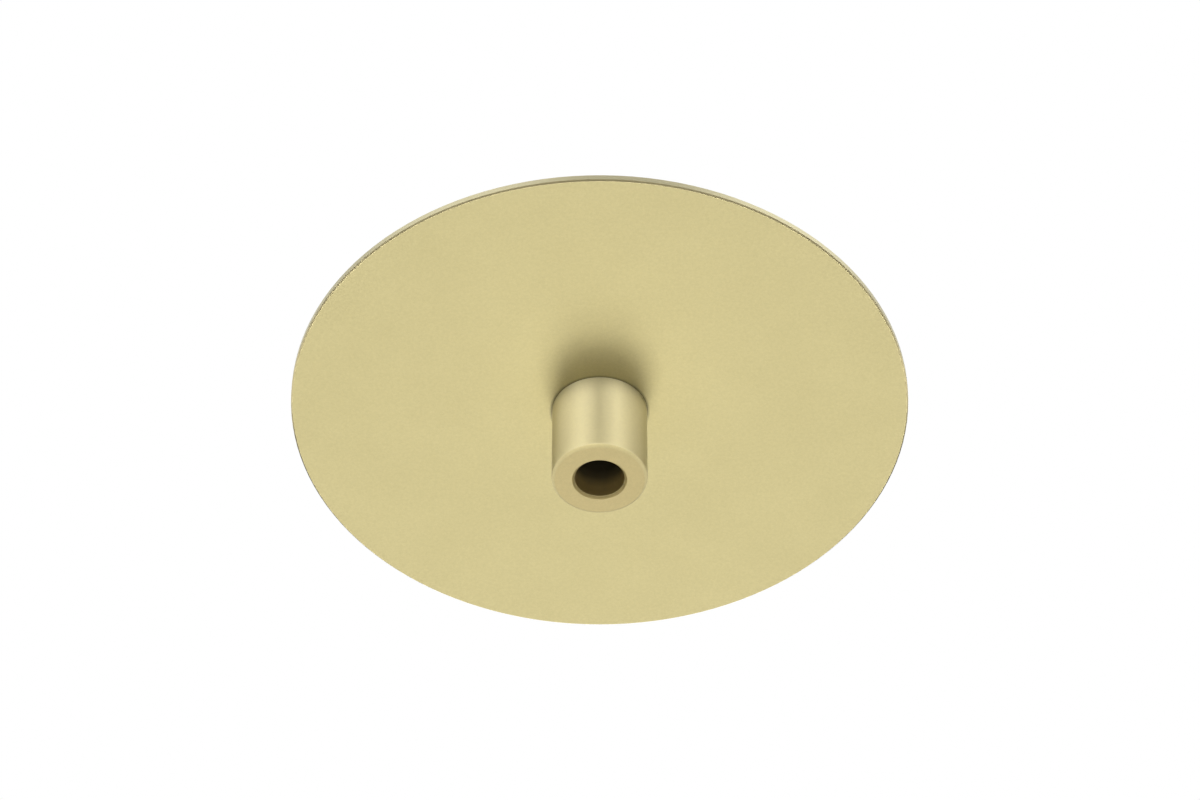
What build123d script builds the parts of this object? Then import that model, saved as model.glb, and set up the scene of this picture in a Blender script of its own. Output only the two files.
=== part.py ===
from build123d import *
from math import cos, radians, sin, tan
import os

# Light fixture ceiling canopy for a recessed outlet box.
# The origin is the centre of the plate's ceiling side. +Z points up into the ceiling,
# the collar hangs down along -Z and the crossbar lies along X above the plate.

# Plate: a flat turned disc
plate_diameter = 130.0
plate_thickness = 1.85
plate_edge_bevel = 0.32

# Collar: bored for a stem from below, tapped for the nipple from above
collar_diameter = 20.0
collar_length = 20.5
collar_edge_radius = 0.75
stem_bore_diameter = 10.5
stem_bore_depth = 12.0
stem_bore_chamfer = 0.5

# Grub screw in the side of the collar, its direction turned from +Y towards +X
grub_diameter = 3.0
grub_height = 8.0
grub_direction = 77.5
grub_recess = 0.4
grub_tip_clearance = 0.4
grub_socket_flats = 1.5
grub_web = 1.2
grub_point_diameter = 1.6
grub_point_depth = 0.5
grub_point_angle = 45.0
grub_edge_chamfer = 0.25

# Nipple: hollow tube threaded along its whole length
nipple_diameter = 10.0
nipple_wall = 1.1
nipple_set_back = 1.0
nipple_stand_out = 4.0
nipple_end_chamfer = 0.4

# Fits: radial room in a tapped hole, in a plain hole and round a pushed-in piece
thread_clearance = 0.05
hole_clearance = 0.25
push_clearance = 0.1

# Nylon bushing in the nipple's top end
bushing_flange_overhang = 0.7
bushing_flange_thickness = 1.3
bushing_flange_chamfer = 0.4
bushing_throat_chamfer = 0.7
bushing_wall = 0.7
bushing_spigot_length = 6.0
bushing_slit_width = 0.8
bushing_slit_length = 4.2
bushing_slit_pairs = 2

# Crossbar: a steel strap, joggled so that its middle lies deeper in the box
box_setback = 6.35
box_screw_spacing = 88.9
slot_reach = 9.525
strap_width = 16.0
strap_thickness = 1.9
strap_edge_break = 0.2
joggle_height = 4.5
joggle_angle = 45.0
bend_inner_radius = 2.0
bend_to_slot = 2.0
nipple_boss_wall = 1.3
nipple_boss_height = 1.6
nipple_boss_flare = 0.7
tapped_hole_chamfer = 0.35

# Ground screw, its cup washer and its tapped hole
ground_hole_land = 1.8
ground_screw_diameter = 4.83
ground_screw_length = 9.5
ground_head_flats = 7.94
ground_head_height = 2.7
ground_flange_diameter = 9.4
ground_flange_thickness = 0.6
ground_slot_width = 1.3
ground_slot_depth = 1.6
cup_diameter = 9.8
cup_sheet = 0.7
cup_depth = 1.6
cup_edge_chamfer = 0.4

# Screws that hold the crossbar to the outlet box
box_screw_diameter = 4.166
box_screw_neck_diameter = 3.5
box_screw_length = 19.05
box_head_diameter = 8.2
box_head_height = 2.2
box_head_chamfer = 0.7
box_slot_width = 1.2
box_slot_depth = 1.1

# Lock washer and locknut on the nipple, above the crossbar
washer_ring_width = 1.35
washer_sheet = 0.9
washer_tooth_length = 1.7
washer_tooth_root_width = 2.3
washer_tooth_tip_width = 3.0
washer_tooth_twist = 8.0
washer_tooth_count = 9
locknut_wall = 3.0
locknut_thickness = 3.0

# Screw tips and turned hexagons
screw_tip_chamfer = 0.5
hexagon_crown_share = 0.95
hexagon_crown_angle = 30.0

# Radii that follow from the sizes above
plate_radius = plate_diameter / 2
collar_radius = collar_diameter / 2
nipple_radius = nipple_diameter / 2
nipple_bore_radius = nipple_radius - nipple_wall
nipple_tapped_radius = nipple_radius + thread_clearance
stem_bore_radius = stem_bore_diameter / 2
grub_tapped_radius = grub_diameter / 2 + thread_clearance
ground_tapped_radius = ground_screw_diameter / 2 + thread_clearance
cup_radius = cup_diameter / 2

# Heights that follow from the stack, from the ceiling side of the plate at z = 0
collar_top = -plate_thickness
collar_bottom = collar_top - collar_length
bore_floor = collar_bottom + stem_bore_depth
strap_low_top = box_setback
strap_low_under = strap_low_top - strap_thickness
strap_high_top = strap_low_top + joggle_height
strap_high_under = strap_high_top - strap_thickness
twist = radians(washer_tooth_twist)
washer_seat_height = washer_sheet * cos(twist) + washer_tooth_tip_width * sin(twist)
washer_middle = strap_high_top + washer_seat_height / 2
locknut_under = strap_high_top + washer_seat_height
nipple_bottom = bore_floor + nipple_set_back
nipple_top = locknut_under + locknut_thickness + nipple_stand_out
nipple_length = nipple_top - nipple_bottom

os.makedirs("parts", exist_ok=True)


def hexagon_blank(plane, flats, height):
    """Hexagonal blank on a plane, with the corners of its far end turned off."""
    corner_radius = flats / 2 / cos(radians(30))
    crown_radius = hexagon_crown_share * flats / 2
    crown_drop = (corner_radius - crown_radius) * tan(radians(hexagon_crown_angle))
    with BuildPart() as blank:
        with BuildSketch():
            RegularPolygon(flats / 2, 6, major_radius=False)
        extrude(amount=height)
        with BuildSketch(Plane.XZ):
            with BuildLine():
                Polyline(
                    (0, 0),
                    (corner_radius, 0),
                    (corner_radius, height - crown_drop),
                    (crown_radius, height),
                    (0, height),
                    close=True,
                )
            make_face()
        revolve(axis=Axis.Z, mode=Mode.INTERSECT)
    return plane * blank.part


# Flat plate, eased at both edges of its rim
with BuildPart() as canopy_plate:
    with BuildSketch():
        Circle(plate_radius)
        Circle(nipple_radius + hole_clearance, mode=Mode.SUBTRACT)
    extrude(amount=-plate_thickness)
    rim_edges = canopy_plate.edges().filter_by(GeomType.CIRCLE).group_by(SortBy.RADIUS)[-1]
    chamfer(rim_edges, length=plate_edge_bevel)
canopy_plate.part.label = "canopy_plate"
export_step(canopy_plate.part, "parts/canopy_plate.step")

# Turned collar: smooth stem bore below, nipple thread above, cross hole in its side
collar_mouth = Plane(origin=(0, 0, collar_bottom), z_dir=(0, 0, -1))
grub_line = Axis(
    origin=(0, 0, collar_bottom + grub_height),
    direction=(sin(radians(grub_direction)), cos(radians(grub_direction)), 0),
)
collar_side = Plane(origin=grub_line.position, z_dir=grub_line.direction).offset(collar_radius)
with BuildPart() as collar:
    with BuildSketch(Plane.XY.offset(collar_bottom)):
        Circle(collar_radius)
    extrude(amount=collar_length)
    fillet(collar.edges().sort_by(Axis.Z)[0], radius=collar_edge_radius)
    with Locations(collar_mouth):
        CounterBoreHole(nipple_tapped_radius, stem_bore_radius, stem_bore_depth, depth=collar_length)
    mouth_edge = collar.edges().filter_by(GeomType.CIRCLE).group_by(Axis.Z)[0].sort_by(SortBy.RADIUS)[0]
    chamfer(mouth_edge, length=stem_bore_chamfer)
    with Locations(collar_side):
        Hole(grub_tapped_radius, depth=collar_radius)
collar.part.label = "collar"
export_step(collar.part, "parts/collar.step")

# Grub screw: its socket faces out and its cup point stops short of the stem bore
grub_length = collar_radius - stem_bore_radius - grub_recess - grub_tip_clearance
grub_socket_plane = collar_side.offset(-grub_recess)
grub_point_plane = grub_socket_plane.offset(-grub_length)
with BuildPart() as collar_grub_screw:
    with BuildSketch(grub_socket_plane):
        Circle(grub_diameter / 2)
    extrude(amount=-grub_length)
    chamfer(collar_grub_screw.edges().sort_by(grub_line)[0], length=grub_edge_chamfer)
    with BuildSketch(grub_socket_plane):
        RegularPolygon(grub_socket_flats / 2, 6, major_radius=False)
    extrude(amount=grub_point_depth + grub_web - grub_length, mode=Mode.SUBTRACT)
    with BuildSketch(grub_point_plane):
        Circle(grub_point_diameter / 2)
    extrude(amount=grub_point_depth, taper=grub_point_angle, mode=Mode.SUBTRACT)
collar_grub_screw.part.label = "collar_grub_screw"
export_step(collar_grub_screw.part, "parts/collar_grub_screw.step")

# Hollow nipple from the collar, through the plate, up past the locknut
with BuildPart() as threaded_nipple:
    with BuildSketch(Plane.XY.offset(nipple_bottom)):
        Circle(nipple_radius)
        Circle(nipple_bore_radius, mode=Mode.SUBTRACT)
    extrude(amount=nipple_length)
    nipple_rims = threaded_nipple.edges().filter_by(GeomType.CIRCLE).group_by(SortBy.RADIUS)[-1]
    chamfer(nipple_rims, length=nipple_end_chamfer)
threaded_nipple.part.label = "threaded_nipple"
export_step(threaded_nipple.part, "parts/threaded_nipple.step")

# Nylon bushing: a flange with a flared throat on a split spigot
spigot_radius = nipple_bore_radius - push_clearance
throat_radius = spigot_radius - bushing_wall
flange_radius = nipple_radius + bushing_flange_overhang
spigot_bottom = nipple_top - bushing_spigot_length
flange_top = nipple_top + bushing_flange_thickness
with BuildPart() as nipple_bushing:
    with BuildSketch(Plane.XY.offset(spigot_bottom)):
        Circle(spigot_radius)
    extrude(amount=bushing_spigot_length)
    with BuildSketch(Plane.XY.offset(nipple_top)):
        Circle(flange_radius)
    extrude(amount=bushing_flange_thickness)
    chamfer(nipple_bushing.edges().sort_by(Axis.Z)[-1], length=bushing_flange_chamfer)
    with Locations((0, 0, flange_top)):
        CounterSinkHole(throat_radius, throat_radius + bushing_throat_chamfer)
    with BuildSketch(Plane.XY.offset(spigot_bottom)):
        with PolarLocations(0, bushing_slit_pairs, angular_range=180):
            Rectangle(2 * flange_radius, bushing_slit_width)
    extrude(amount=bushing_slit_length, mode=Mode.SUBTRACT)
nipple_bushing.part.label = "nipple_bushing"
export_step(nipple_bushing.part, "parts/nipple_bushing.step")

# Joggled crossbar: bent from one strap, then pierced, pulled and tapped
slot_width = box_screw_diameter + 2 * hole_clearance
slot_outer = box_screw_spacing / 2
slot_middle = slot_outer - slot_reach / 2
bend_radius = bend_inner_radius + strap_thickness / 2
bend_run = bend_radius * tan(radians(joggle_angle / 2))
joggle_run = joggle_height / tan(radians(joggle_angle))
joggle_foot = slot_outer - slot_reach - slot_width / 2 - bend_to_slot - bend_run
joggle_head = joggle_foot - joggle_run
strap_half = slot_outer + strap_width / 2
low_middle = strap_low_top - strap_thickness / 2
high_middle = strap_high_top - strap_thickness / 2
strap_line = [
    (-strap_half, low_middle),
    (-joggle_foot, low_middle),
    (-joggle_head, high_middle),
    (joggle_head, high_middle),
    (joggle_foot, low_middle),
    (strap_half, low_middle),
]
nipple_boss_radius = nipple_tapped_radius + nipple_boss_wall
ground_hole_offset = nipple_boss_radius + nipple_boss_flare + ground_hole_land + cup_radius
ground_hole_mouth = Plane(origin=(-ground_hole_offset, 0, strap_high_under), z_dir=(0, 0, -1))
boss_mouth = strap_high_under - nipple_boss_height
with BuildPart() as crossbar:
    with BuildSketch(Plane.XZ):
        with BuildLine():
            FilletPolyline(strap_line, radius=bend_radius)
        trace(line_width=strap_thickness)
    extrude(amount=strap_width / 2, both=True)
    with BuildSketch():
        SlotCenterToCenter(box_screw_spacing, strap_width)
    extrude(amount=strap_high_top + strap_thickness, mode=Mode.INTERSECT)
    strap_edges = crossbar.edges() - crossbar.edges().filter_by(Axis.Y) - crossbar.edges().filter_by(Axis.Z)
    chamfer(strap_edges, length=strap_edge_break)
    with BuildSketch(Plane.XY.offset(strap_low_under)):
        with Locations((-slot_middle, 0), (slot_middle, 0)):
            SlotCenterToCenter(slot_reach, slot_width)
    extrude(amount=strap_thickness, mode=Mode.SUBTRACT)
    with BuildSketch(Plane.XZ):
        with BuildLine():
            Polyline(
                (0, boss_mouth),
                (nipple_boss_radius, boss_mouth),
                (nipple_boss_radius, strap_high_under - nipple_boss_flare),
                (nipple_boss_radius + nipple_boss_flare, strap_high_under),
                (0, strap_high_under),
                close=True,
            )
        make_face()
    revolve(axis=Axis.Z)
    with Locations((0, 0, strap_high_top)):
        CounterSinkHole(nipple_tapped_radius, nipple_tapped_radius + tapped_hole_chamfer)
    with Locations(ground_hole_mouth):
        CounterSinkHole(ground_tapped_radius, ground_tapped_radius + tapped_hole_chamfer)
crossbar.part.label = "crossbar"
export_step(crossbar.part, "parts/crossbar.step")

# External tooth lock washer: each tooth widens outwards and is twisted about its own middle line
tooth_root = nipple_radius + hole_clearance + washer_ring_width
tooth_inner = tooth_root - washer_ring_width / 2
tooth_outer = tooth_root + washer_tooth_length
tooth_plane = Plane(origin=(0, 0, washer_middle), x_dir=(1, 0, 0), z_dir=(0, sin(twist), cos(twist)))
with BuildPart() as washer_tooth:
    with BuildSketch(tooth_plane):
        with BuildLine():
            Polyline(
                (tooth_inner, -washer_tooth_root_width / 2),
                (tooth_outer, -washer_tooth_tip_width / 2),
                (tooth_outer, washer_tooth_tip_width / 2),
                (tooth_inner, washer_tooth_root_width / 2),
                close=True,
            )
        make_face()
    extrude(amount=washer_sheet / 2, both=True)
with BuildPart() as lock_washer:
    with BuildSketch(Plane.XY.offset(washer_middle - washer_sheet / 2)):
        Circle(tooth_root)
        Circle(tooth_root - washer_ring_width, mode=Mode.SUBTRACT)
    extrude(amount=washer_sheet)
    with PolarLocations(0, washer_tooth_count):
        add(washer_tooth.part)
lock_washer.part.label = "lock_washer"
export_step(lock_washer.part, "parts/lock_washer.step")

# Thin hexagon locknut above the washer
locknut_blank = hexagon_blank(
    Plane.XY.offset(locknut_under), nipple_diameter + 2 * locknut_wall, locknut_thickness
)
with BuildPart() as locknut:
    add(locknut_blank)
    with Locations((0, 0, locknut_under + locknut_thickness)):
        CounterSinkHole(nipple_tapped_radius, nipple_tapped_radius + tapped_hole_chamfer)
locknut.part.label = "locknut"
export_step(locknut.part, "parts/locknut.step")

# Cup washer, rim up against the strap, so that a wire is trapped inside it
cup_hole_radius = ground_screw_diameter / 2 + hole_clearance
cup_rim = Plane(origin=(-ground_hole_offset, 0, strap_high_under))
with BuildPart() as ground_cup_washer:
    with BuildSketch(cup_rim):
        Circle(cup_radius)
    extrude(amount=-cup_depth)
    chamfer(ground_cup_washer.edges().sort_by(Axis.Z)[0], length=cup_edge_chamfer)
    with Locations(cup_rim):
        CounterBoreHole(cup_hole_radius, cup_radius - cup_sheet, cup_depth - cup_sheet, depth=cup_depth)
ground_cup_washer.part.label = "ground_cup_washer"
export_step(ground_cup_washer.part, "parts/ground_cup_washer.step")

# Ground screw, driven up from the room side: washer faced hexagon head with a slot
flange_seat = strap_high_under - cup_depth
ground_seat = Plane(origin=(-ground_hole_offset, 0, flange_seat))
ground_head_seat = Plane(
    origin=(-ground_hole_offset, 0, flange_seat - ground_flange_thickness), z_dir=(0, 0, -1)
)
ground_head = hexagon_blank(ground_head_seat, ground_head_flats, ground_head_height)
with BuildPart() as ground_screw:
    with BuildSketch(ground_seat):
        Circle(ground_flange_diameter / 2)
    extrude(amount=-ground_flange_thickness)
    with BuildSketch(ground_seat):
        Circle(ground_screw_diameter / 2)
    extrude(amount=ground_screw_length)
    chamfer(ground_screw.edges().sort_by(Axis.Z)[-1], length=screw_tip_chamfer)
    add(ground_head)
    with BuildSketch(ground_head_seat.offset(ground_head_height)):
        Rectangle(ground_head_flats * 2, ground_slot_width)
    extrude(amount=-ground_slot_depth, mode=Mode.SUBTRACT)
ground_screw.part.label = "ground_screw"
export_step(ground_screw.part, "parts/ground_screw.step")

# Pan head box screws, one at each end, with a thin neck where they cross the strap
box_thread_length = box_screw_length - strap_thickness
for side, x in (("left", -box_screw_spacing / 2), ("right", box_screw_spacing / 2)):
    head_seat = Plane(origin=(x, 0, strap_low_under))
    with BuildPart() as box_screw:
        with BuildSketch(head_seat):
            Circle(box_head_diameter / 2)
        extrude(amount=-box_head_height)
        chamfer(box_screw.edges().sort_by(Axis.Z)[0], length=box_head_chamfer)
        with BuildSketch(head_seat):
            Circle(box_screw_neck_diameter / 2)
        extrude(amount=strap_thickness)
        with BuildSketch(head_seat.offset(strap_thickness)):
            Circle(box_screw_diameter / 2)
        extrude(amount=box_thread_length)
        chamfer(box_screw.edges().sort_by(Axis.Z)[-1], length=screw_tip_chamfer)
        with BuildSketch(head_seat.offset(-box_head_height)):
            Rectangle(box_slot_width, 2 * box_head_diameter)
        extrude(amount=box_slot_depth, mode=Mode.SUBTRACT)
    box_screw.part.label = f"box_screw_{side}"
    export_step(box_screw.part, f"parts/box_screw_{side}.step")
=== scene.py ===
import math
import bmesh
import bpy
from mathutils import Matrix, Vector


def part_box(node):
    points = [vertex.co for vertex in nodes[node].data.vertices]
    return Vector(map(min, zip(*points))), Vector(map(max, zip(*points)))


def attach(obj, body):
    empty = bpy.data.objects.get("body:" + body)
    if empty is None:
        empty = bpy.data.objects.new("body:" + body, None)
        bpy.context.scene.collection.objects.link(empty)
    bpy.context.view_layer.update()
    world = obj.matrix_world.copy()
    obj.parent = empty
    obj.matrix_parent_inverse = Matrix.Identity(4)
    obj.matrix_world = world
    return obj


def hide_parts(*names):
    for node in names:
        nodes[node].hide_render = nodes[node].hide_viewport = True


# Looks of a light fixture ceiling canopy: finishes, cut threads, studio and camera.
# The origin is the centre of the plate's ceiling side and +Z points up into the ceiling,
# so the plate's lower face, the collar and the camera lie at negative heights.

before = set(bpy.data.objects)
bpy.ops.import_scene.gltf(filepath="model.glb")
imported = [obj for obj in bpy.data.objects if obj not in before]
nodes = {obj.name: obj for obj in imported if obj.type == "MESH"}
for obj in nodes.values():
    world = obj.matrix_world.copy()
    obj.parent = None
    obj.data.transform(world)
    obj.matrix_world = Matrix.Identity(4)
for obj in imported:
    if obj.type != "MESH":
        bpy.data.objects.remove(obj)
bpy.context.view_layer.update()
MM = 0.001

PLATE_RADIUS = 65.0 * MM
SHARP_ANGLE = 32.0

# Zones of the collar's finish: where each one gives way to the next
BORE_TO_CHAMFER = (5.27 * MM, 5.33 * MM)  # radius
CHAMFER_TO_END_FACE = (5.68 * MM, 5.78 * MM)  # radius
END_FACE_TO_ROUNDED_EDGE = (9.25 * MM, 9.55 * MM)  # radius
ROUNDED_EDGE_TO_WALL = (-21.95 * MM, -21.5 * MM)  # height
# Painted shade in the bore: from its mouth to this depth its colour darkens to near black
BORE_MOUTH_TO_PAINTED_SHADE = (-22.0 * MM, -13.5 * MM)  # height

# Zones of the plate's finish
FACE_TO_RIM = (64.62 * MM, 64.72 * MM)  # radius
BEVEL_TO_RIM = (-1.55 * MM, -1.45 * MM)  # height
LOWER_TO_UPPER_SIDE = (-1.3 * MM, -0.6 * MM)  # height
# Painted shade on the plate's lower face round the collar's base: darkest inside the first
# radius, gone past the second
PAINTED_SHADE_TO_FACE = (10.0 * MM, 10.65 * MM)  # radius

# The stretch of the brass's cloud noise over which its colours change
BRASS_CLOUDS = (0.25, 0.75)

# Threads: outer radius, depth and pitch
BOX_SCREW_THREAD = (2.083 * MM, 0.46 * MM, 0.794 * MM)
GROUND_SCREW_THREAD = (2.415 * MM, 0.46 * MM, 0.794 * MM)
NIPPLE_THREAD = (5.0 * MM, 0.55 * MM, 1.0 * MM)
NIPPLE_BORE_RADIUS = 3.9 * MM
BOX_SCREW_NECK_TOP = 6.35 * MM
SCREW_SEGMENTS = 64
NIPPLE_SEGMENTS = 96

# One turn of a thread from root over crest, as shares of its depth
THREAD_PROFILE = (0.0, 0.0, 0.4, 0.8, 1.0, 1.0, 0.7, 0.3)

# Studio
FLOOR_RADIUS = 1.2
FLOOR_HEIGHT = -1.9
FLOOR_SEGMENTS = 96
LAMP_DISTANCE = 1.8
LAMP_WIDTH = 0.70
LAMP_LENGTH = 0.47
STRIP_CORE = 0.3  # share of a strip's half width that has its full brightness
STRIP_CORE_HEIGHT = 0.4  # the same for its half height

# Camera: it looks up at the plate from the photographer's side, with a long lens
CAMERA_LENS = 163.05
CAMERA_SENSOR = 36.0
CAMERA_CLIP_START = 0.01
CAMERA_TILT = math.radians(46.22)
CAMERA_DISTANCE = 17.658 * PLATE_RADIUS
CAMERA_AIM = Vector((0.0012, 0.0, 0.0257)) * PLATE_RADIUS


# ---------------------------------------------------------------- node helpers
class Shader:
    """A short way to write a material's nodes."""

    def __init__(self, name):
        self.material = bpy.data.materials.new(name)
        self.material.use_nodes = True
        self.tree = self.material.node_tree
        self.tree.nodes.clear()
        self.out = self.add("ShaderNodeOutputMaterial")
        self.bsdf = self.add("ShaderNodeBsdfPrincipled")
        self.link(self.bsdf.outputs["BSDF"], self.out.inputs["Surface"])
        self.place = self.add("ShaderNodeTexCoord").outputs["Object"]

    def add(self, kind, **settings):
        node = self.tree.nodes.new(kind)
        for key, value in settings.items():
            setattr(node, key, value)
        return node

    def link(self, source, target):
        self.tree.links.new(source, target)

    def set(self, **sockets):
        """Fixed values of the surface's sockets."""
        for key, value in sockets.items():
            self.bsdf.inputs[key.replace("_", " ")].default_value = value

    def to(self, socket, source):
        """A socket of the surface that follows a node."""
        self.link(source, self.bsdf.inputs[socket])

    def noise(self, scale, detail=2.0, rough=0.5, stretch=None):
        place = self.place
        if stretch:
            mapping = self.add("ShaderNodeMapping")
            mapping.inputs["Scale"].default_value = stretch
            self.link(self.place, mapping.inputs["Vector"])
            place = mapping.outputs["Vector"]
        node = self.add("ShaderNodeTexNoise")
        node.inputs["Scale"].default_value = scale
        node.inputs["Detail"].default_value = detail
        node.inputs["Roughness"].default_value = rough
        self.link(place, node.inputs["Vector"])
        return node.outputs["Fac"]

    def ramp(self, source, *stops):
        node = self.add("ShaderNodeValToRGB")
        items = node.color_ramp.elements
        while len(items) < len(stops):
            items.new(0.5)
        for item, (position, colour) in zip(items, stops):
            item.position = position
            item.color = (*colour, 1.0)
        self.link(source, node.inputs["Fac"])
        return node.outputs["Color"]

    def tones(self, source, low, high, start=0.3, end=0.7):
        """A ramp from one colour to another."""
        return self.ramp(source, (start, low), (end, high))

    def spread(self, source, low, high, start=0.3, end=0.7):
        """The source's stretch from start to end, mapped to low and high."""
        node = self.add("ShaderNodeMapRange")
        node.inputs["From Min"].default_value = start
        node.inputs["From Max"].default_value = end
        node.inputs["To Min"].default_value = low
        node.inputs["To Max"].default_value = high
        self.link(source, node.inputs["Value"])
        return node.outputs["Result"]

    def zone(self, source, limits):
        """0 below the first limit, 1 past the second."""
        return self.spread(source, 0.0, 1.0, *limits)

    def radius(self):
        """Distance from the upright axis, in metres."""
        flat = self.add("ShaderNodeVectorMath", operation="MULTIPLY")
        flat.inputs[1].default_value = (1.0, 1.0, 0.0)
        self.link(self.place, flat.inputs[0])
        length = self.add("ShaderNodeVectorMath", operation="LENGTH")
        self.link(flat.outputs["Vector"], length.inputs[0])
        return length.outputs["Value"]

    def height(self):
        parts = self.add("ShaderNodeSeparateXYZ")
        self.link(self.place, parts.inputs[0])
        return parts.outputs["Z"]

    def maths(self, operation, first, second):
        node = self.add("ShaderNodeMath", operation=operation)
        self.link(first, node.inputs[0])
        self.link(second, node.inputs[1])
        return node.outputs[0]

    def blend(self, share, low, high):
        """A mix of two values, or of two colours."""
        value = low.type == "VALUE"
        socket = "VALUE" if value else "RGBA"
        node = self.add("ShaderNodeMix", data_type="FLOAT" if value else "RGBA")
        self.link(share, node.inputs[0])
        for name, source in (("A", low), ("B", high)):
            self.link(source, next(i for i in node.inputs if i.name == name and i.type == socket))
        return next(o for o in node.outputs if o.type == socket)

    def tint(self, colour, source, low, high, start=0.3, end=0.7):
        """The colour, made darker or lighter along a value."""
        node = self.add("ShaderNodeVectorMath", operation="SCALE")
        self.link(colour, node.inputs[0])
        self.link(self.spread(source, low, high, start, end), node.inputs["Scale"])
        return node.outputs["Vector"]

    def bump(self, source, height_mm, strength):
        node = self.add("ShaderNodeBump")
        node.inputs["Distance"].default_value = height_mm * MM
        node.inputs["Strength"].default_value = strength
        self.link(source, node.inputs["Height"])
        return node.outputs["Normal"]


# ---------------------------------------------------------------- materials
def turned_zones(s, clouds, grain, radius):
    """The collar: a browner, less metallic bore, where the plating doesn't reach, with painted
    shade that darkens it with depth, a broken chamfer at its mouth painted darker as shade,
    a plain end face, a rounded edge and a wall with turned grain."""
    past_bore = s.zone(radius, BORE_TO_CHAMFER)
    past_chamfer = s.zone(radius, CHAMFER_TO_END_FACE)
    past_face = s.zone(radius, END_FACE_TO_ROUNDED_EDGE)
    height = s.height()
    wall = s.maths("MULTIPLY", s.zone(height, ROUNDED_EDGE_TO_WALL), past_bore)
    # Painted shade: the bore's colour goes from brass at the mouth to near black deeper in
    bore = s.ramp(
        s.zone(height, BORE_MOUTH_TO_PAINTED_SHADE),
        (0.0, (0.74, 0.61, 0.285)), (0.35, (0.66, 0.54, 0.270)),
        (0.68, (0.22, 0.185, 0.105)), (0.95, (0.10, 0.085, 0.05)),
    )
    # Painted shade: the chamfer's colour is darker and browner than the end face
    chamfer_painted_shade = s.tones(clouds, (0.600, 0.490, 0.220), (0.620, 0.505, 0.230), *BRASS_CLOUDS)
    end_face = s.tones(clouds, (0.665, 0.579, 0.322), (0.683, 0.595, 0.336), *BRASS_CLOUDS)
    outside = s.tones(clouds, (0.690, 0.622, 0.374), (0.705, 0.637, 0.388), *BRASS_CLOUDS)
    colour = s.blend(past_bore, bore, s.blend(past_chamfer, chamfer_painted_shade, end_face))
    colour = s.blend(past_face, colour, outside)
    rough = s.blend(past_chamfer, s.spread(grain, 0.58, 0.66), s.spread(grain, 0.79, 0.87))
    rough = s.blend(past_face, rough, s.spread(grain, 0.88, 0.94))
    s.to("Metallic", s.spread(past_bore, 0.20, 1.0, 0.0, 1.0))
    return colour, s.blend(wall, rough, s.spread(grain, 0.42, 0.46)), wall


def sheet_zones(s, clouds, grain, radius):
    """The plate: plain faces, a turned rim with a lighter lower bevel, and painted shade
    round the collar's base on the lower side."""
    rim = s.zone(radius, FACE_TO_RIM)
    height = s.height()
    pale = s.tones(clouds, (0.662, 0.598, 0.340), (0.682, 0.617, 0.354), *BRASS_CLOUDS)
    edge = s.tones(clouds, (0.690, 0.632, 0.400), (0.705, 0.647, 0.415), *BRASS_CLOUDS)
    bevel = s.tones(clouds, (0.865, 0.745, 0.405), (0.885, 0.765, 0.420), *BRASS_CLOUDS)
    edge = s.blend(s.zone(height, BEVEL_TO_RIM), bevel, edge)
    # Painted shade: the lower face is darkened to half where it meets the collar and fades out
    # further out
    lower_side_painted_shade = s.tint(pale, radius, 0.50, 1.0, *PAINTED_SHADE_TO_FACE)
    colour = s.blend(s.zone(height, LOWER_TO_UPPER_SIDE), lower_side_painted_shade, pale)
    rough = s.blend(rim, s.spread(grain, 0.74, 0.82), s.spread(grain, 0.33, 0.37))
    return s.blend(rim, colour, edge), rough, rim


def satin_brass(name, zones, bump_strength, anisotropy):
    """Pale satin brass. The grain runs round the upright axis where the zones say that the
    piece is turned, and it is even elsewhere."""
    s = Shader(name)
    s.set(Metallic=1.0, Anisotropic_Rotation=0.25)
    clouds = s.noise(55.0, 3.0)
    mottle = s.noise(1500.0)
    grain = s.noise(5200.0, rough=0.6)
    colour, rough, turned = zones(s, clouds, grain, s.radius())
    s.to("Base Color", s.tint(colour, mottle, 0.955, 1.0))
    s.to("Roughness", rough)
    s.to("Normal", s.bump(grain, 0.004, bump_strength))
    s.to("Anisotropic", s.spread(turned, 0.0, anisotropy, 0.0, 1.0))
    s.to("Tangent", s.add("ShaderNodeTangent", direction_type="RADIAL", axis="Z").outputs[0])
    return s.material


def zinc_steel(name, rolled=False):
    """Bright zinc plating, with marks along the strip where it is rolled."""
    s = Shader(name)
    s.set(Metallic=1.0)
    clouds = s.noise(420.0, 4.0, 0.6)
    s.to("Base Color", s.tones(clouds, (0.50, 0.51, 0.52), (0.62, 0.625, 0.62)))
    s.to("Roughness", s.spread(clouds, 0.26, 0.40))
    marks = s.noise(900.0, 3.0, 0.6, stretch=(0.06, 1.0, 1.0)) if rolled else s.noise(2600.0)
    s.to("Normal", s.bump(marks, 0.010, 0.4))
    return s.material


def plain_steel(name):
    s = Shader(name)
    s.set(Metallic=1.0)
    clouds = s.noise(700.0, 3.0)
    s.to("Base Color", s.tones(clouds, (0.40, 0.39, 0.38), (0.50, 0.49, 0.475)))
    s.to("Roughness", s.spread(clouds, 0.24, 0.36))
    s.to("Normal", s.bump(s.noise(3000.0), 0.006, 0.4))
    return s.material


def green_screw(name):
    s = Shader(name)
    s.set(Metallic=0.85)
    clouds = s.noise(650.0, 3.0)
    s.to("Base Color", s.tones(clouds, (0.030, 0.190, 0.070), (0.055, 0.270, 0.105)))
    s.to("Roughness", s.spread(clouds, 0.30, 0.42))
    s.to("Normal", s.bump(s.noise(2600.0), 0.006, 0.4))
    return s.material


def black_nylon(name):
    s = Shader(name)
    clouds = s.noise(300.0, 3.0)
    s.to("Base Color", s.tones(clouds, (0.014, 0.014, 0.015), (0.022, 0.022, 0.023)))
    s.to("Roughness", s.spread(clouds, 0.42, 0.55))
    s.to("Normal", s.bump(s.noise(2200.0, rough=0.6), 0.010, 0.5))
    return s.material


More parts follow.
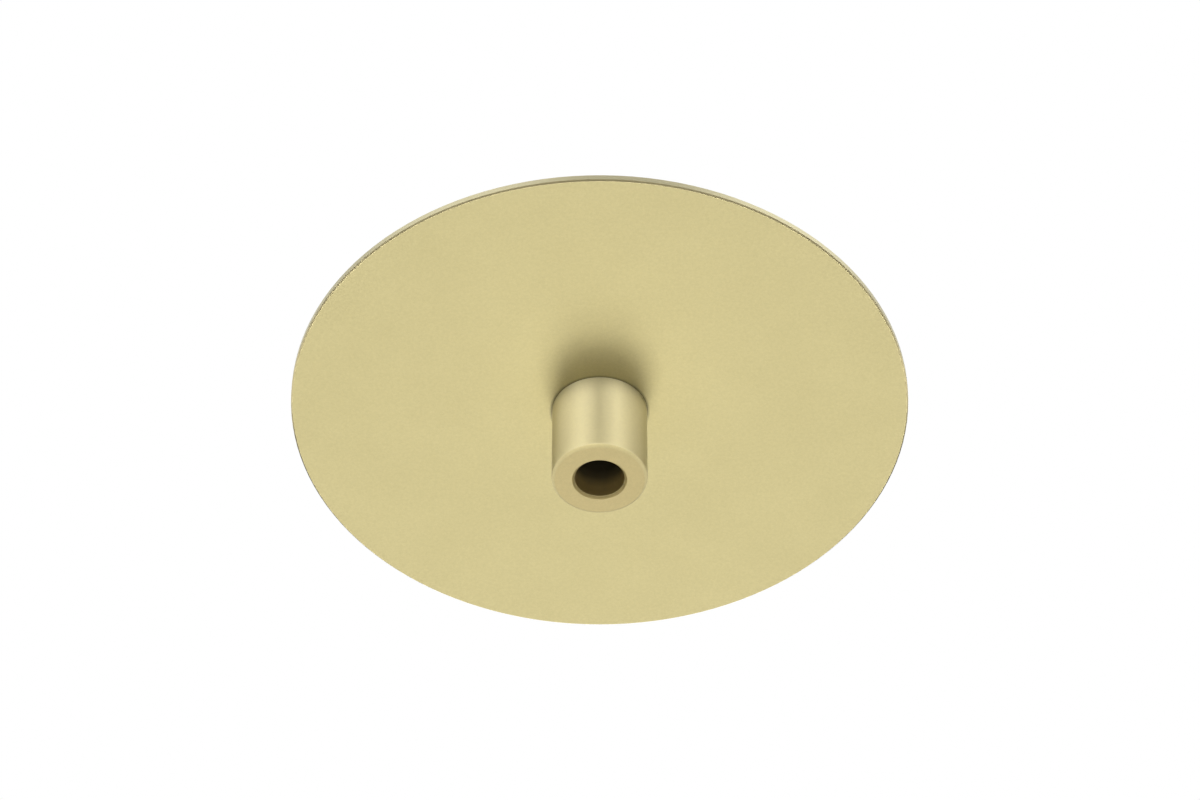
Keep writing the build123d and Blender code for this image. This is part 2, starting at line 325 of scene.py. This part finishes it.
finish = {
    "canopy_plate": satin_brass("satin_brass_sheet", sheet_zones, 0.12, 0.35),
    "collar": satin_brass("satin_brass_turned", turned_zones, 0.35, 0.85),
    "collar_grub_screw": plain_steel("plain_steel"),
    "nipple_bushing": black_nylon("black_nylon"),
    "crossbar": zinc_steel("zinc_strip", rolled=True),
    "ground_screw": green_screw("green_screw"),
}
zinc = zinc_steel("zinc_steel")
for name, node in nodes.items():
    node.data.materials.clear()
    node.data.materials.append(finish.get(name, zinc))


# ---------------------------------------------------------------- meshes
def ring(bm, radius, z, count):
    verts = []
    for j in range(count):
        angle = 2 * math.pi * j / count
        verts.append(bm.verts.new((radius * math.cos(angle), radius * math.sin(angle), z)))
    return verts


def bridge(bm, low, high):
    """A band of faces between two rings."""
    for j in range(len(low)):
        k = (j + 1) % len(low)
        bm.faces.new((low[j], low[k], high[k], high[j]))


def put_in_scene(bm, name):
    mesh = bpy.data.meshes.new(name)
    bm.to_mesh(mesh)
    bm.free()
    obj = bpy.data.objects.new(name, mesh)
    bpy.context.scene.collection.objects.link(obj)
    return obj


def smooth(obj):
    """Smooth shading that keeps the sharp edges."""
    obj.data.shade_smooth()
    obj.data.set_sharp_from_angle(angle=math.radians(SHARP_ANGLE))


# ---------------------------------------------------------------- threads
def cut_thread(bm, size, z0, z1, count):
    """A helical thread between two heights, run out at both ends. Gives its root radius."""
    major, depth, pitch = size
    minor = major - depth
    steps = len(THREAD_PROFILE)
    rows = int(math.ceil((z1 - z0) / pitch + 1.0)) * steps + 1
    grid = []
    for i in range(rows + steps):
        row = []
        for j in range(count):
            z = z0 + pitch * (i / steps - 1.0 + j / count)
            z = min(max(z, z0), z1)
            r = minor + depth * THREAD_PROFILE[i % steps]
            r = min(r, minor + (z - z0), minor + (z1 - z))
            angle = 2.0 * math.pi * j / count
            row.append(bm.verts.new((r * math.cos(angle), r * math.sin(angle), z)))
        grid.append(row)
    for i in range(rows):
        for j in range(count):
            k = (j + 1) % count
            up = 0 if k else steps  # a full turn on, the helix is one pitch higher
            if i + up + 1 < len(grid):
                bm.faces.new((grid[i][j], grid[i + up][k], grid[i + up + 1][k], grid[i + 1][j]))
    return minor


def kept_faces(bm, node, below):
    """The CAD node's own faces under a height, moved to the thread's axis. Gives its place."""
    mesh = nodes[node].data
    lows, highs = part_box(node)
    x = (lows[0] + highs[0]) / 2
    index = {}
    for face in mesh.polygons:
        if max(mesh.vertices[v].co.z for v in face.vertices) > below:
            continue
        corners = []
        for v in face.vertices:
            if v not in index:
                co = mesh.vertices[v].co
                index[v] = bm.verts.new((co.x - x, co.y, co.z))
            corners.append(index[v])
        bm.faces.new(corners)
    return x


def threaded_piece(bm, name, x, node):
    """The finished mesh, in place of the CAD node."""
    bmesh.ops.remove_doubles(bm, verts=bm.verts, dist=2e-7)
    bmesh.ops.dissolve_degenerate(bm, edges=bm.edges, dist=1e-7)
    bmesh.ops.recalc_face_normals(bm, faces=bm.faces)
    piece = put_in_scene(bm, name)
    piece.data.transform(Matrix.Translation((x, 0, 0)))
    piece.data.materials.append(finish.get(node, zinc))
    smooth(piece)
    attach(piece, "root")
    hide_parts(node)


def threaded_screw(name, node, size, shoulder):
    """A screw with the CAD node's head and neck, and a cut thread above the shoulder."""
    bm = bmesh.new()
    x = kept_faces(bm, node, shoulder + 0.01 * MM)
    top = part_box(node)[1][2]
    minor = cut_thread(bm, size, shoulder, top, SCREW_SEGMENTS)
    bm.faces.new(ring(bm, minor, top, SCREW_SEGMENTS))
    threaded_piece(bm, name, x, node)


def threaded_tube(name, node, size, bore):
    """A tube with a cut thread from end to end and a smooth bore."""
    bm = bmesh.new()
    low, high = (corner[2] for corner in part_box(node))
    minor = cut_thread(bm, size, low, high, NIPPLE_SEGMENTS)
    bore_low, bore_high = (ring(bm, bore, z, NIPPLE_SEGMENTS) for z in (low, high))
    bridge(bm, bore_high, bore_low)
    bridge(bm, bore_low, ring(bm, minor, low, NIPPLE_SEGMENTS))
    bridge(bm, ring(bm, minor, high, NIPPLE_SEGMENTS), bore_high)
    threaded_piece(bm, name, 0.0, node)


for side in ("left", "right"):
    threaded_screw(
        f"box_screw_{side}_threaded", f"box_screw_{side}",
        BOX_SCREW_THREAD, BOX_SCREW_NECK_TOP,
    )
threaded_screw(
    "ground_screw_threaded", "ground_screw",
    GROUND_SCREW_THREAD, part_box("ground_cup_washer")[0][2],
)
threaded_tube(
    "threaded_nipple_cut", "threaded_nipple", NIPPLE_THREAD, NIPPLE_BORE_RADIUS
)
for node in nodes.values():
    if not node.hide_render:
        smooth(node)


# ---------------------------------------------------------------- floor
# The floor is plain pale, and white to the camera and to glossy and transmission rays.
bm = bmesh.new()
bm.faces.new(ring(bm, FLOOR_RADIUS, FLOOR_HEIGHT, FLOOR_SEGMENTS))
floor = put_in_scene(bm, "studio_floor")
paint = Shader("studio_floor_paint")
paint.set(Roughness=0.9)
patches = paint.noise(3.0, 3.0)
paint.to("Base Color", paint.tones(patches, (0.86, 0.86, 0.86), (0.90, 0.90, 0.90)))
white = paint.add("ShaderNodeEmission")
rays = paint.add("ShaderNodeLightPath").outputs
straight = rays["Is Camera Ray"]
for kind in ("Is Glossy Ray", "Is Transmission Ray"):
    straight = paint.maths("MAXIMUM", straight, rays[kind])
mix = paint.add("ShaderNodeMixShader")
paint.link(straight, mix.inputs[0])
paint.link(paint.bsdf.outputs["BSDF"], mix.inputs[1])
paint.link(white.outputs["Emission"], mix.inputs[2])
paint.link(mix.outputs["Shader"], paint.out.inputs["Surface"])
floor.data.materials.append(paint.material)

# ---------------------------------------------------------------- world
world = bpy.data.worlds.new("studio")
bpy.context.scene.world = world
world.use_nodes = True
tree = world.node_tree
tree.nodes.clear()


def world_node(kind, **settings):
    node = tree.nodes.new(kind)
    for key, value in settings.items():
        setattr(node, key, value)
    return node


def world_maths(operation, *values):
    node = world_node("ShaderNodeMath", operation=operation)
    for value, target in zip(values, node.inputs):
        if isinstance(value, (int, float)):
            target.default_value = value
        else:
            tree.links.new(value, target)
    return node.outputs[0]


def fade(value, zero_at, one_at):
    node = world_node("ShaderNodeMapRange", interpolation_type="SMOOTHSTEP")
    node.inputs["From Min"].default_value = zero_at
    node.inputs["From Max"].default_value = one_at
    tree.links.new(value, node.inputs["Value"])
    return node.outputs["Result"]


def toward(azimuth, elevation):
    """Unit vector, with azimuth 0 on the photographer's side and 90 to the photo's right."""
    a, e = math.radians(azimuth), math.radians(elevation)
    return (math.sin(a) * math.cos(e), -math.cos(a) * math.cos(e), math.sin(e))


direction = world_node("ShaderNodeTexCoord").outputs["Generated"]
split = world_node("ShaderNodeSeparateXYZ")
tree.links.new(direction, split.inputs[0])
from_horizon = world_maths("ABSOLUTE", split.outputs["Z"])


def pool(azimuth, elevation, outer, inner):
    """1 inside a cone about a direction, 0 outside a wider one."""
    node = world_node("ShaderNodeVectorMath", operation="DOT_PRODUCT")
    tree.links.new(direction, node.inputs[0])
    node.inputs[1].default_value = toward(azimuth, elevation)
    zero_at, one_at = (math.cos(math.radians(angle)) for angle in (outer, inner))
    return fade(node.outputs["Value"], zero_at, one_at)


def strip(azimuth, half_width, half_height):
    """A soft-edged strip that lies along the horizon."""
    across = pool(azimuth, 0.0, half_width, half_width * STRIP_CORE)
    reach = math.sin(math.radians(half_height))
    return world_maths("MULTIPLY", across, fade(from_horizon, reach, reach * STRIP_CORE_HEIGHT))


# The strips make the bright and dark bands down the collar's wall. The pools light the rim
# of the plate and what lies above it.
lights = (
    (strip, (0, 22, 6), 8.0),
    (strip, (-28, 26, 6), 13.2),
    (strip, (28, 26, 6), 12.4),
    (strip, (-48, 30, 6), 7.2),
    (strip, (48, 30, 6), 8.0),
    (strip, (-72, 34, 7), 7.0),
    (strip, (72, 34, 7), 4.7),
    (strip, (-104, 42, 7), 2.4),
    (strip, (104, 42, 7), 2.4),
    (pool, (0, 90, 85, 40), 0.52),
    (pool, (180, 66, 50, 20), 0.5),
    (pool, (-55, 46, 32, 14), 0.42),
    (pool, (75, 46, 30, 10), 0.62),
)
level = 0.0
for shape, place, amount in lights:
    level = world_maths("MULTIPLY_ADD", shape(*place), amount, level)

# The camera sees a white world, and transmission rays too. All else sees the lights.
rays = world_node("ShaderNodeLightPath").outputs
straight = world_maths("MAXIMUM", rays["Is Camera Ray"], rays["Is Transmission Ray"])
shown = world_node("ShaderNodeMix", data_type="FLOAT")
tree.links.new(straight, shown.inputs[0])
tree.links.new(level, shown.inputs[2])
shown.inputs[3].default_value = 1.0
background = world_node("ShaderNodeBackground")
background.inputs["Color"].default_value = (1.0, 1.0, 1.0, 1.0)
tree.links.new(shown.outputs[0], background.inputs["Strength"])
output = world_node("ShaderNodeOutputWorld")
tree.links.new(background.outputs["Background"], output.inputs["Surface"])


# ---------------------------------------------------------------- lamps
def lamp(name, azimuth, elevation, radiance):
    """An oval soft box that faces the origin, its length in the upright plane."""
    data = bpy.data.lights.new(name, "AREA")
    data.shape = "ELLIPSE"
    data.size = LAMP_WIDTH
    data.size_y = LAMP_LENGTH
    area = math.pi * LAMP_WIDTH * LAMP_LENGTH / 4
    data.energy = radiance * math.pi * area
    obj = bpy.data.objects.new(name, data)
    bpy.context.scene.collection.objects.link(obj)
    obj.location = Vector(toward(azimuth, elevation)) * LAMP_DISTANCE
    obj.rotation_euler = obj.location.to_track_quat("Z", "Y").to_euler()
    obj.visible_camera = False


# Low behind the object, so that the collar's shadow falls towards the photographer's side
lamp("key_low", 180, -38, 2.6)
lamp("key_middle", 180, -50, 6.6)
lamp("key_high", 180, -62, 13.4)
lamp("key_steep", 180, -74, 6.6)

# ---------------------------------------------------------------- camera and view
camera_data = bpy.data.cameras.new("camera")
camera_data.sensor_width = CAMERA_SENSOR
camera_data.lens = CAMERA_LENS
camera_data.clip_start = CAMERA_CLIP_START
camera = bpy.data.objects.new("camera", camera_data)
bpy.context.scene.collection.objects.link(camera)
backwards = Vector((0.0, -math.cos(CAMERA_TILT), -math.sin(CAMERA_TILT)))
camera.location = CAMERA_AIM + CAMERA_DISTANCE * backwards
camera.rotation_euler = (math.radians(90) + CAMERA_TILT, 0.0, 0.0)
bpy.context.scene.camera = camera
bpy.context.scene.view_settings.view_transform = "Standard"
